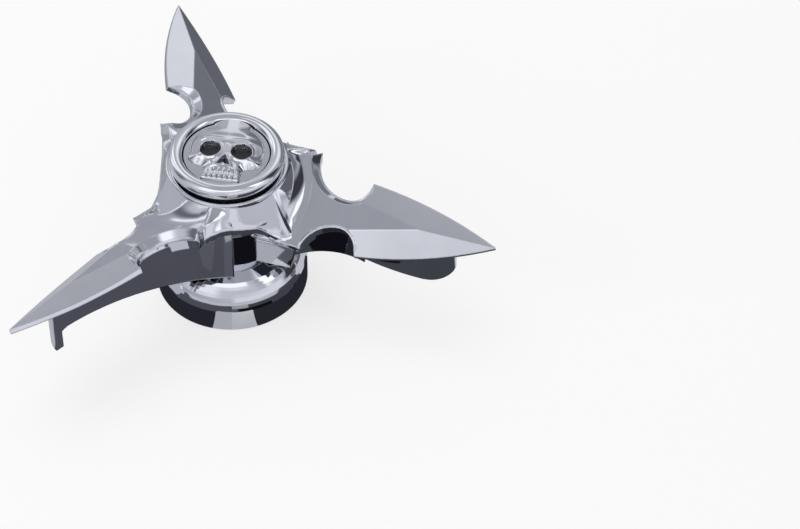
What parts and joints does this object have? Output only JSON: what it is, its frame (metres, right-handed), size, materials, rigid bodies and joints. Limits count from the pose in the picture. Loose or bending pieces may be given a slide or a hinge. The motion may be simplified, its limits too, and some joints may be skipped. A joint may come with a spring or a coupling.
{
  "type": "motorcycle axle nut cover",
  "caption": "Chrome motorcycle axle nut cover: a round cap that slips over the nut and a free-spinning three-bladed top with a skull medallion.",
  "frame": {"origin": "centre of the cap's open rim, on the axle axis", "axes": "+Z along the axle, away from the wheel; +X to the right and -Y towards the viewer of the picture"},
  "size_m": [0.1351, 0.1339, 0.0536],
  "materials": {
    "bright_chrome": "bright chrome plate over zinc die casting",
    "bearing_steel": "ground and polished bearing steel",
    "plain_steel": "turned steel, zinc plated",
    "black_steel": "black oxide",
    "cage_brass": "stamped brass",
    "black_rubber": "smooth rubber cord",
    "foam_tape": "double-sided foam tape",
    "dark_chrome": "smoked chrome",
    "black_enamel": "gloss black enamel fill"
  },
  "bodies": {
    "base": {"nut_cap": "bright_chrome", "grub_screws": "black_steel", "grip_ring": "black_rubber", "spindle": "plain_steel", "lock_washer": "plain_steel", "lower_inner_ring": "bearing_steel", "bearing_spacer": "plain_steel", "upper_inner_ring": "bearing_steel", "retaining_washer": "plain_steel", "retaining_screw": "black_steel"},
    "rotor": {"lower_outer_ring": "bearing_steel", "lower_shield_under": "plain_steel", "lower_shield_over": "plain_steel", "upper_outer_ring": "bearing_steel", "upper_shield_under": "plain_steel", "upper_shield_over": "plain_steel", "circlip": "black_steel", "spinner": "bright_chrome", "bezel_cup": "bright_chrome", "adhesive_pad": "foam_tape", "medallion_plate": "dark_chrome", "skull_relief": "bright_chrome", "socket_inlays": "black_enamel"},
    "lower_ball_set": {"lower_cage": "cage_brass", "lower_balls": "bearing_steel"},
    "upper_ball_set": {"upper_cage": "cage_brass", "upper_balls": "bearing_steel"}
  },
  "joints": [
    {"name": "rotor_spin", "type": "hinge", "parent": "base", "child": "rotor", "pos_m": [0, 0, 0.0335], "axis": [0, 0, 1], "continuous": true},
    {"name": "lower_ball_set_spin", "type": "hinge", "parent": "base", "child": "lower_ball_set", "pos_m": [0, 0, 0.0265], "axis": [0, 0, 1], "continuous": true},
    {"name": "upper_ball_set_spin", "type": "hinge", "parent": "base", "child": "upper_ball_set", "pos_m": [0, 0, 0.0405], "axis": [0, 0, 1], "continuous": true}
  ],
  "couplings": [
    {"joint": "lower_ball_set_spin", "follows": "rotor_spin", "ratio": 0.632},
    {"joint": "upper_ball_set_spin", "follows": "rotor_spin", "ratio": 0.632}
  ]
}
